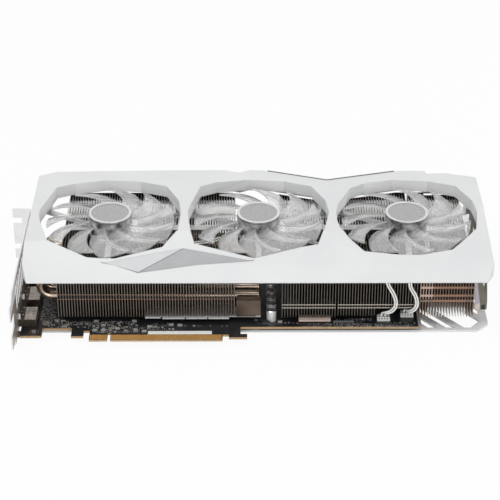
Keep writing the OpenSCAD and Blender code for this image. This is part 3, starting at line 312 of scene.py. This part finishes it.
class Build:
    """Gathers small boxes, rings and strips into one mesh with several looks."""

    def __init__(self, name, looks):
        self.name, self.looks = name, looks
        self.points, self.faces, self.which = [], [], []

    def hull(self, rings, look, wrap=False):
        """Joins rings of equal length, with both ends closed or the last joined to the first."""
        n, count, base = len(rings[0]), len(rings), len(self.points)
        faces = []
        for ring in rings:
            self.points += ring
        for i in range(count if wrap else count - 1):
            here, there = base + i * n, base + (i + 1) % count * n
            for k in range(n):
                after = (k + 1) % n
                faces.append([here + k, here + after, there + after, there + k])
        if not wrap:
            faces.append([base + k for k in reversed(range(n))])
            faces.append([base + (count - 1) * n + k for k in range(n)])
        self.faces += faces
        self.which += [self.looks.index(look)] * len(faces)

    def box(self, x, y, z, look, ease):
        """A box between card coordinates, with its top edges eased."""
        def ring(h, d):
            x0, x1, y0, y1 = x[0] + d, x[1] - d, y[0] + d, y[1] - d
            return [at(x0, y0, h), at(x1, y0, h), at(x1, y1, h), at(x0, y1, h)]
        self.hull([ring(z[0], 0), ring(z[1] - ease, 0), ring(z[1], ease)], look)

    def ring(self, centre, radii, heights, look, sides=32):
        """A flat ring about a card point, between two radii and two heights."""
        (inner, outer), (low, high) = radii, heights
        section = ((inner, low), (outer, low), (outer, high), (inner, high))
        self.hull([circle(centre, r, z, sides) for r, z in section], look, wrap=True)

    def done(self, body="card", smooth=False):
        """Makes the object, which takes its finish from a slot and rides on a body."""
        mesh = bpy.data.meshes.new(self.name)
        mesh.from_pydata(self.points, [], self.faces)
        for look in self.looks:
            mesh.materials.append(LOOKS[look])
        mesh.polygons.foreach_set("material_index", self.which)
        if smooth:
            mesh.polygons.foreach_set("use_smooth", [True] * len(self.faces))
        mesh.validate()
        mesh.update()
        o = bpy.data.objects.new(self.name, mesh)
        scene.collection.objects.link(o)
        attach(o, body)
        return o


bpy.context.view_layer.update()
for name, look in NODE_LOOKS.items():
    dress(name, [look])

# A face points along an axis where that part of its normal is past FACING, or fully past SQUARE
FACING, SQUARE, UPRIGHT = 0.5, 0.9, 0.3

# The board's cut edges show the bare laminate
paint("board", ("board", "laminate"),
      lambda c, n: "board" if abs(n.z) > FACING else "laminate")

# Fins: dark sides, paler front edges, copper tabs and bright folded lips on top; the lips'
# near-white is a silver finish with painted light
FIN_STACKS = (("fins_left", "fin", "fin_edge"), ("fins_middle", "fin", "fin_edge_dark"),
              ("fins_right", "fin", "fin_edge_dark"), ("fins_end", "fin_end", "fin_end_edge"))
LIP_Z, LIP_FRONT_Y, LIP_REAR_Y = 32.4, 24, (81, 123)
TAB_Y = (21.2, 22)


def fin_look(side, front):
    def pick(c, n):
        if n.z > FACING and c.z > LIP_Z:
            lip = c.y < LIP_FRONT_Y or LIP_REAR_Y[0] < c.y < LIP_REAR_Y[1]
            return "fin_lip_lit" if lip else front
        if n.y < -FACING:
            return "fin_tab" if TAB_Y[0] < c.y < TAB_Y[1] else front
        return side
    return pick


for name, side, front in FIN_STACKS:
    paint(name, (side, front, "fin_lip_lit", "fin_tab"), fin_look(side, front))

# Folded strips that close the gaps between neighbouring fins at their rear edges, under the tops
FIN_PITCH, FIN_T, FIN_TOP, FOLD_H, FOLD_T, FOLD_EASE = 1.8, 0.5, 33, 9, 0.4, 0.02
folds = Build("fin_folds", ["fin_fold"])
for name, _, _ in FIN_STACKS:
    spots = [card_point(nodes[name], v.co) for v in nodes[name].data.vertices]
    first = min(v.x for v in spots)
    rear = {}
    for v in spots:
        k = round((v.x - first - FIN_T / 2) / FIN_PITCH)
        rear[k] = max(rear.get(k, 0), v.y)
    for k in range(max(rear)):
        x, y = first + k * FIN_PITCH, min(rear[k], rear[k + 1])
        folds.box((x + FIN_T, x + FIN_PITCH), (y - FOLD_T, y), (FIN_TOP - FOLD_H, FIN_TOP),
                  "fin_fold", FOLD_EASE)
folds.done()

# Rotors: clear blades with pale edges as a painted highlight, the clear hub and its white rim
HUB_R, HUB_RIM_Z = 14.35, 48.3


def rotor_look(x):
    def pick(c, n):
        if math.hypot(c.x - x, c.y - FAN_Y) > HUB_R:
            # Painted highlight on the blades' upright faces
            return "blade_edge_highlight" if abs(n.z) < UPRIGHT else "blade"
        return "hub_rim" if c.z > HUB_RIM_Z else "hub"
    return pick


for fan, x in zip(FANS, FAN_X):
    paint(fan + "_rotor", ("blade", "blade_edge_highlight", "hub", "hub_rim"), rotor_look(x))

# Shroud: duct walls round the fans drawn brighter as painted light, and a dark grey floor in the
# accent plates' pocket as painted shade.
# The plates meet on the line from LOW to HIGH; TIP and END are their far corners.
TIP, LOW = Vector((-4.5, 23.4, 42.9)), Vector((18.8, 18.1, 38.7))
HIGH, END = Vector((47.3, 36, 46.1)), Vector((92.7, 24.9, 43.3))
UP_LIGHT = (LOW - TIP).cross(HIGH - TIP).normalized()
UP_GREY = (END - LOW).cross(HIGH - LOW).normalized()
DUCT_R, GREY_SIDE = 47.5, 0.8
POCKET_DEPTH, POCKET_NEAR, POCKET_X, POCKET_Y = 1, 0.04, (-4, 92), 37


def shroud_look(c, n):
    # Painted light: upright faces round a fan take the brighter duct look
    if abs(n.z) < UPRIGHT and any(math.hypot(c.x - x, c.y - FAN_Y) < DUCT_R for x in FAN_X):
        return "duct_lit"
    # Painted shade: faces at the depth of the pocket's floor are drawn dark grey
    sunk = any(abs((c - LOW).dot(up) + POCKET_DEPTH) < POCKET_NEAR for up in (UP_LIGHT, UP_GREY))
    if sunk and POCKET_X[0] < c.x < POCKET_X[1] and c.y < POCKET_Y:
        return "pocket_shade"
    return "shroud"


# Painted shade: on both plates, the sides that face the front take the pocket's dark grey
def light_look(c, n):
    side = n.dot(UP_LIGHT) < SQUARE and n.x < 0 and n.y < -FACING
    return "pocket_shade" if side else "accent_light"


def grey_look(c, n):
    side = n.dot(UP_GREY) < SQUARE and n.y < -GREY_SIDE
    return "pocket_shade" if side else "accent_grey"


paint("shroud", ("shroud", "duct_lit", "pocket_shade"), shroud_look)
paint("accent_light", ("accent_light", "pocket_shade"), light_look)
paint("accent_grey", ("accent_grey", "pocket_shade"), grey_look)

# Painted shade: a narrow grey strip along the lower edges of the accent plates, where a raised
# plate's shaded side would show
BORDER_W, BORDER_H = 0.8, 0.12
shade_strips = Build("accent_edges", ["accent_edge"])
for start, end, up in ((TIP, LOW, UP_LIGHT), (LOW, END, UP_GREY)):
    inward = up.cross(end - start).normalized()
    section = ((0, 0), (BORDER_W, 0), (BORDER_W, BORDER_H), (0, BORDER_H))
    shade_strips.hull([[at(*(c + inward * i + up * h)) for i, h in section] for c in (start, end)],
               "accent_edge")
shade_strips.done()

# Bracket, socket shells, cans and the end bracket's front faces, which lie one behind another
END_FACES = (("lug", 22.1, 22.3), ("web", 22.3, 22.45), ("black", 22.45, 23))


def end_look(c, n):
    for look, near, far in END_FACES:
        if n.y <= -SQUARE and near < c.y < far:
            return look
    return "olive"


# Painted light: faces turned inward take the pale copy of the plated steel, with its shaded foot
paint("io_bracket", ("bracket", "bracket_inner_light_shade"),
      lambda c, n: "bracket_inner_light_shade" if n.x > FACING else "bracket")
for name in ("display_sockets", "hdmi_socket"):
    # Painted shade: faces turned to the front take the darker copy of the steel
    paint(name, ("shell", "shell_front_shade"),
          lambda c, n: "shell_front_shade" if n.y < -FACING else "shell")
# Painted light and shade: can tops darker, sides near-white
paint("capacitors", ("can", "can_top"), lambda c, n: "can_top" if n.z > SQUARE else "can")
paint("end_bracket", ("olive", "web", "lug", "black"), end_look)

# Small parts on the board's margins: bodies with bright soldered ends, and a chip with legs.
# A row is (low x, high x, y, gap, looks, only small parts); the draw follows the rows' order.
SEED, FILLED = 7, 0.86
TALLEST, HEIGHT_SHARE = 1.0, 0.8  # a part's height is this share of its depth
JITTER, GAP_SPAN = 0.3, (0.35, 1.1)
PART_DEPTHS = {0.6: 0.3, 1.0: 0.5, 1.6: 0.8, 3.2: 1.6}  # by part length
SMALL_MIX = (0.6, 1.0, 1.0)
FULL_MIX = (0.6, 0.6, 1.0, 1.0, 1.0, 1.6, 1.6, 3.2)
FRONT_LOOKS = ("part", "chip", "chip", "part_grey", "part_grey")
RIGHT_LOOKS = ("part_brown", "part", "part_grey", "chip")
ROWS = [(x0, x1, y, gap, FRONT_LOOKS, False) for y, x0, x1, gap in (
    (7.9, -10, 22, 0.9), (9.4, -11, 22, 0.9), (10.9, -12, 24, 0.9), (12.3, -14, 26, 0.9),
    (13.7, -38, 26, 0.9), (15.2, -40, 78, 2.2), (16.8, -43, 15, 0.9), (18.3, -44, 15, 0.9),
    (19.8, -44, 14, 0.9), (21.2, -44, -33, 0.9))]
# Close rows between the sockets and the left fins
ROWS += [(-45.5, -36.5, 22.6 + 1.45 * k, 0.6, FRONT_LOOKS, True) for k in range(20)]
# Rows right of the cans
ROWS += [(x0, x1, y, 1.0, RIGHT_LOOKS, True) for y, x0, x1 in (
    (13.6, 136, 196), (14.7, 124, 196), (15.9, 136, 196), (17.1, 128, 171))]
# Short rows that fill the gaps
ROWS += [(x0, x1, y, gap, FRONT_LOOKS, small) for x0, x1, y, gap, small in (
    (106, 122, 18.6, 3.0, False), (179, 196, 18.2, 1.4, True), (146, 170, 21.6, 1.2, True),
    (152, 170, 23.2, 1.2, True), (26, 40, 11.2, 1.0, False), (26, 40, 13, 1.0, False),
    (27, 40, 16.8, 1.4, False))]
END_MAX, END_SHARE, END_UNDER, END_PROUD = 0.35, 0.25, 0.6, 0.03
LEG_REACH, LEG_H = 0.7, 0.35
rng = random.Random(SEED)
parts = Build("board_parts", ["part", "chip", "tin", "part_grey", "part_brown", "choke"])


def chip_part(x, y, w, d, h, look):
    """A body with a soldered end at its left and right."""
    end = min(END_MAX, w * END_SHARE)
    under = end * END_UNDER
    parts.box((x + under, x + w - under), (y, y + d), (0, h), look, 0.05)
    for left, right in ((x, x + end), (x + w - end, x + w)):
        parts.box((left, right), (y - END_PROUD, y + d + END_PROUD), (0, h + END_PROUD),
                  "tin", 0.04)


def legged(x, y, w, d, h, legs):
    """A black chip with a row of legs in front and behind."""
    parts.box((x, x + w), (y, y + d), (0.1, h), "chip", 0.12)
    step = w / legs
    for k in range(legs):
        left = x + step * (k + 0.25)
        for lo, hi in ((y - LEG_REACH, y), (y + d, y + d + LEG_REACH)):
            parts.box((left, left + step * 0.5), (lo, hi), (0, LEG_H), "tin", 0.03)


for x, x1, y, gap, looks, small in ROWS:
    while x < x1:
        w = rng.choice(SMALL_MIX if small else FULL_MIX)
        d = PART_DEPTHS[w]
        if rng.random() < FILLED:
            look = rng.choice(looks)
            height = min(d * HEIGHT_SHARE, TALLEST)
            chip_part(x, y + rng.uniform(-JITTER, JITTER), w, d, height, look)
        x += w + gap * rng.uniform(*GAP_SPAN)
parts.box((143.8, 157.4), (18.9, 20.2), (0, 1.1), "choke", 0.15)
parts.box((158, 163.4), (18.9, 20.2), (0, 1.0), "chip", 0.15)
legged(98, 18.3, 5, 3.4, 1.1, 5)
board_parts = parts.done()
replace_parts(board_parts, "surface_parts")

# A blank pale strip, bare copper round the front bracket screw, and the gold contacts' underlay
SCREW_AT, COPPER_R = (-48.5, 8.8), (2.45, 3.2)
STRIP_X, STRIP_Y = (24.8, 65.7), (5.9, 9.6)
CONTACTS_X, CONTACTS_Y = ((-12.2, -1.2), (1.2, 71.4)), (0.4, 5.5)
strip = Build("board_strip", ["white", "gold_base", "fin_tab"])
strip.box(STRIP_X, STRIP_Y, (0, 0.12), "white", 0.03)
strip.ring(SCREW_AT, COPPER_R, (0, 0.1), "fin_tab")
for x in CONTACTS_X:
    strip.box(x, CONTACTS_Y, (0, 0.02), "gold_base", 0.005)
strip.done()

# Plugs: painted shade as dark strips where the slots over the crimps are, in front and on top, and
# a pale latch bar
PLUGS = ((172.5, 20.7), (188.0, 25.3))  # left x and front y
PLUG_W, CRIMPS, FIRST_CRIMP, CRIMP_PITCH, CRIMP_W = 8, 4, 0.7, 1.75, 0.9
slot_marks = Build("plug_slot_shade_and_latch", ["chip", "white"])
for left, front in PLUGS:
    for k in range(CRIMPS):
        x = left + FIRST_CRIMP + k * CRIMP_PITCH
        slot_marks.box((x, x + CRIMP_W), (front - 0.06, front + 0.1), (1.55, 2.3), "chip", 0.02)
        slot_marks.box((x, x + CRIMP_W), (front + 0.3, front + 1.1), (2.96, 3.06), "chip", 0.02)
    slot_marks.box((left - 0.1, left + PLUG_W + 0.1), (front - 0.14, front + 0.1), (2.45, 2.9),
             "white", 0.05)
slot_marks.done()

# Sockets: a dark collar, drawn in the shells' painted shade, with spring fingers at the bracket,
# raised tabs and folded seams on top
SOCKETS = ((22.4, 7.5), (46.6, 8), (68.2, 8), (89.8, 8))  # middle y and half width
FINGERS, FINGER_X, FINGER_STAGGER, FINGER_L, FINGER_IN = 4, -58.2, 1.4, 1.1, 1.5
COLLAR_X, TAB_X, SEAM_X = (-58.9, -54.8), (-54.4, -50.4), (-54.6, -48.4)
TAB_OUT, TAB_HALF, SEAM_HALF, FINGER_HALF = 3.6, 1.1, 0.12, 0.4
LEAN_X, LEAN_T = (-58.5, -57.3), 0.3
HDMI_LINES, LINE_X, LINE_W = (23.9, 25.5, 27.1), (-54.4, -48.8), 0.3
tabs = Build("socket_tabs", ["shell", "shell_front_shade", "chip", "fin_lip_lit"])
for y, half in SOCKETS:
    front = y - half
    step = (2 * half - 2 * FINGER_IN) / (FINGERS - 1)
    tabs.box(COLLAR_X, (front, y + half), (5.56, 5.72), "shell_front_shade", 0.05)
    for k in range(FINGERS):
        x, side = FINGER_X + FINGER_STAGGER * (k % 2), front + FINGER_IN + k * step
        tabs.box((x, x + FINGER_L), (side - FINGER_HALF, side + FINGER_HALF), (5.7, 5.95),
                 "shell", 0.05)
    for side in (y - TAB_OUT, y + TAB_OUT):
        tabs.box(TAB_X, (side - TAB_HALF, side + TAB_HALF), (5.58, 5.7), "shell", 0.05)
    tabs.box(SEAM_X, (y - SEAM_HALF, y + SEAM_HALF), (5.58, 5.62), "chip", 0.01)
    # A longer finger leans back at the front corner, drawn in the lips' near-white as a painted
    # highlight
    (x0, x1), rings = LEAN_X, []
    for z, lean in ((5.5, 0), (8.8, 1.6)):
        near, far = front + lean, front + (lean + LEAN_T)
        rings.append([at(x0, near, z), at(x1, near, z), at(x1, far, z), at(x0, far, z)])
    tabs.hull(rings, "fin_lip_lit")
for y in HDMI_LINES:
    tabs.box(LINE_X, (y, y + LINE_W), (5.71, 5.75), "chip", 0.01)
tabs.done()

# Bright rolled rims round the can tops, sloped outward
CANS, CAN_X, CAN_Y, CAN_PITCH, CAN_SIDES = 5, 104, 23, 8, 40
RIM_SECTION = ((2.6, 7.45), (3.13, 7.45), (3.13, 7.52), (2.74, 7.86), (2.6, 7.8))  # radius, z
rims = Build("can_rims", ["can_rim"])
for k in range(CANS):
    centre = (CAN_X, CAN_Y + CAN_PITCH * k)
    rims.hull([circle(centre, r, z, CAN_SIDES) for r, z in RIM_SECTION], "can_rim", wrap=True)
rims.done()

# Fan leads: the CAD routes made smooth, each of two strands that part before the plug
LEAD_Z = 34.5
SEAT_R = 14.6  # from a fan's axis to the end of its lead


def seat(fan, degrees):
    """The end of a lead at a fan's motor base."""
    a = math.radians(degrees)
    return (FAN_X[fan] + SEAT_R * math.cos(a), FAN_Y - SEAT_R * math.sin(a), LEAD_Z)


ROUTES = {
    "fan_lead_right": [
        seat(2, 45), (206.4, 64.7, LEAD_Z), (206.6, 57, LEAD_Z), (205.6, 49, LEAD_Z),
        (204, 41, LEAD_Z), (202, 33.4, LEAD_Z), (199.8, 27, LEAD_Z), (197.8, 23.4, LEAD_Z),
        (195.4, 21, LEAD_Z + 0.2), (193.2, 19, LEAD_Z - 1.2), (192.2, 18.3, LEAD_Z - 3.9),
        (192.6, 18.3, 27.6), (194, 18.3, 24.6), (195.8, 18.3, 21.5), (197, 18.3, 17.5),
        (197.2, 18.3, 14), (196.2, 18.6, 11), (194.2, 19.4, 8.6), (192.6, 21.4, 7.2),
        (191.6, 23.8, 6.4), (191.2, 25.8, 5.8), (191.2, 27, 4.8), (191.2, 27, 3.05)],
    "fan_lead_middle": [
        seat(1, 20), (113, 71.2, LEAD_Z), (120.5, 68.4, LEAD_Z), (128.5, 64.6, LEAD_Z),
        (136, 59.4, LEAD_Z), (142, 51.6, LEAD_Z), (145.4, 42, LEAD_Z), (149.6, 32.6, LEAD_Z),
        (156, 26.8, LEAD_Z), (165, 24.2, LEAD_Z), (172, 22.8, LEAD_Z),
        (175.2, 21.2, LEAD_Z + 0.2), (177, 19, LEAD_Z - 1.2), (177.8, 18.3, LEAD_Z - 3.9),
        (179.4, 18.3, 27), (181.4, 18.3, 23.4), (183, 18.3, 19.5), (183.8, 18.3, 15.5),
        (183.2, 18.4, 12), (181.2, 18.8, 9), (178.6, 19.8, 7.2), (176.9, 21.2, 6),
        (176.4, 22.2, 4.8), (176.4, 22.2, 3.05)],
    "fan_lead_left": [
        seat(0, 20), (15, 71.2, LEAD_Z), (23, 67.6, LEAD_Z), (34.4, 63, LEAD_Z),
        (46.9, 61, LEAD_Z), (59.4, 63, LEAD_Z), (70.8, 67.6, LEAD_Z), (78.8, 71.2, LEAD_Z),
        seat(1, 160)],
}
STRAND_R, STRAND_SIDES = 0.56, 12
STRAND_OUT = 0.72  # from the lead's middle to a strand's
FORK_OUT, FORK_STEPS = Vector((1.3, 0, 0)), 20
FROM_FRONT = Vector((0, 0.86, -0.51))  # the strands lie side by side as seen this way


def smooth_path(points, per=4):
    """A Catmull-Rom curve through the points."""
    p = [Vector(q) for q in points]
    p = [2 * p[0] - p[1]] + p + [2 * p[-1] - p[-2]]
    out = []
    for i in range(1, len(p) - 2):
        for k in range(per):
            u = k / per
            out.append(0.5 * (2 * p[i] + (p[i + 1] - p[i - 1]) * u
                              + (2 * p[i - 1] - 5 * p[i] + 4 * p[i + 1] - p[i + 2]) * u * u
                              + (3 * p[i] - p[i - 1] - 3 * p[i + 1] + p[i + 2]) * u ** 3))
    return out + [p[-2]]


def heading(path, i):
    """The path's direction at one of its points."""
    return (path[min(i + 1, len(path) - 1)] - path[max(i - 1, 0)]).normalized()


def tube(build, path, radius, look, sides):
    """Rings along a path, carried on without twist."""
    side, rings = Vector((0, 0, 1)), []
    for i, c in enumerate(path):
        ahead = heading(path, i)
        if abs(ahead.dot(side)) > 0.99:
            side = Vector((0, 1, 0))
        side = (side - ahead * side.dot(ahead)).normalized()
        up = ahead.cross(side)
        angles = [TURN * k / sides for k in range(sides)]
        rings.append([at(*(c + radius * (math.cos(a) * side + math.sin(a) * up)))
                      for a in angles])
    build.hull(rings, look)


for name, route in ROUTES.items():
    lead = Build(name + "_cord", ["lead"])
    path = smooth_path(route)
    across, apart = Vector((1, 0, 0)), []
    for i, c in enumerate(path):
        turned = heading(path, i).cross(FROM_FRONT)
        if turned.length > 0.3:  # else the lead runs along the view, and the last side is kept
            across = turned.normalized() if turned.dot(across) > 0 else -turned.normalized()
        fork = max(0.0, (i - len(path) + FORK_STEPS) / FORK_STEPS)
        if name == "fan_lead_left":
            fork = 0  # no plug: it joins two motor bases
        apart.append(across * STRAND_OUT * (1 - fork) + FORK_OUT * fork)
    for side in (-1, 1):
        tube(lead, [c + side * d for c, d in zip(path, apart)], STRAND_R, "lead", STRAND_SIDES)
    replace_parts(lead.done(smooth=True), name)

# Painted shade: a thin dark ring in the groove under each hub's raised ring
GROOVE_SHADE_R, GROOVE_SHADE_Z, GROOVE_SHADE_SIDES = (14.06, 14.26), (47.75, 48.3), 64
for fan, x in zip(FANS, FAN_X):
    groove_shade = Build(fan + "_groove_shade", ["trim"])
    groove_shade.ring((x, FAN_Y), GROOVE_SHADE_R, GROOVE_SHADE_Z, "trim", GROOVE_SHADE_SIDES)
    groove_shade.done(fan)

# Studio: floor, world, lamps and the camera at the photograph's view
FLOOR_SIZE, FLOOR_Z = 8, -0.0002
FLOOR_TONE, FLOOR_ROUGH, FLOOR_SHINE = (0.86, 0.86, 0.86, 1), 0.9, 0.1
FLOOR_WHITE = 0.94  # share of plain white that background rays see; the rest is the lit floor
SKY_LIGHT, SKY_SEEN = 0.43, 1.0
LAMPS = (  # name, place, target, size, power
    ("key", (-0.5, -0.3, 1.5), (0, 0, 0), 1.2, 11.5),
    ("front", (0.3, -1.7, 0.22), (0, 0, 0.02), 1.0, 7),
    ("right", (1.5, 0.2, 0.9), (0, 0, 0.02), 0.9, 7))
PHOTO_PX, FOCAL_PX, SENSOR, CLIP_START = 500, 1700.4, 36, 0.01
CAMERA_AT = (87.5, -899.1, 605.5)  # in card mm
CAMERA_PITCH, CAMERA_YAW = math.radians(30.95), math.radians(-0.165)


def background_rays(tree):
    """1 for rays that see the plain background: the camera's, mirrored ones and those in glass."""
    rays = tree.nodes.new("ShaderNodeLightPath")
    seen = rays.outputs["Is Camera Ray"]
    for kind in ("Is Glossy Ray", "Is Transmission Ray"):
        seen = operate(tree, "MAXIMUM", seen, rays.outputs[kind])
    return seen


def aim(o, place, direction):
    """Sets a lamp or the camera in its place, and turns it."""
    o.location = place
    o.rotation_euler = direction.to_track_quat("-Z", "Y").to_euler()
    scene.collection.objects.link(o)


bpy.ops.mesh.primitive_plane_add(size=FLOOR_SIZE, location=(0, 0, FLOOR_Z))
floor = bpy.context.object
floor.name = "floor"
pale = bpy.data.materials.new("floor_pale")
pale.use_nodes = True
tree = pale.node_tree
matt = tree.nodes["Principled BSDF"]
matt.inputs["Base Color"].default_value = FLOOR_TONE
matt.inputs["Roughness"].default_value = FLOOR_ROUGH
matt.inputs["Specular IOR Level"].default_value = FLOOR_SHINE
glow = tree.nodes.new("ShaderNodeEmission")
mix = tree.nodes.new("ShaderNodeMixShader")
share = operate(tree, "MULTIPLY", background_rays(tree), FLOOR_WHITE)
for source, socket in zip((share, matt.outputs[0], glow.outputs[0]), mix.inputs):
    tree.links.new(source, socket)
tree.links.new(mix.outputs[0], tree.nodes["Material Output"].inputs["Surface"])
floor.data.materials.append(pale)

world = bpy.data.worlds.new("studio")
scene.world = world
world.use_nodes = True
tree = world.node_tree
sky = tree.nodes["Background"]
sky.inputs["Color"].default_value = (1, 1, 1, 1)
level = tree.nodes.new("ShaderNodeMapRange")
level.inputs["To Min"].default_value = SKY_LIGHT
level.inputs["To Max"].default_value = SKY_SEEN
tree.links.new(background_rays(tree), level.inputs["Value"])
tree.links.new(level.outputs["Result"], sky.inputs["Strength"])

for name, place, target, size, power in LAMPS:
    light = bpy.data.lights.new(name, "AREA")
    light.shape = "DISK"
    light.size = size
    light.energy = power
    aim(bpy.data.objects.new(name, light), place, Vector(target) - Vector(place))

lens = bpy.data.cameras.new("camera")
lens.lens = SENSOR * FOCAL_PX / PHOTO_PX
lens.sensor_width = SENSOR
lens.clip_start = CLIP_START
camera = bpy.data.objects.new("camera", lens)
flat = math.cos(CAMERA_PITCH)
aim(camera, at(*CAMERA_AT), Vector((-math.sin(CAMERA_YAW) * flat, math.cos(CAMERA_YAW) * flat,
                                    -math.sin(CAMERA_PITCH))))
scene.camera = camera
scene.view_settings.view_transform = "Standard"
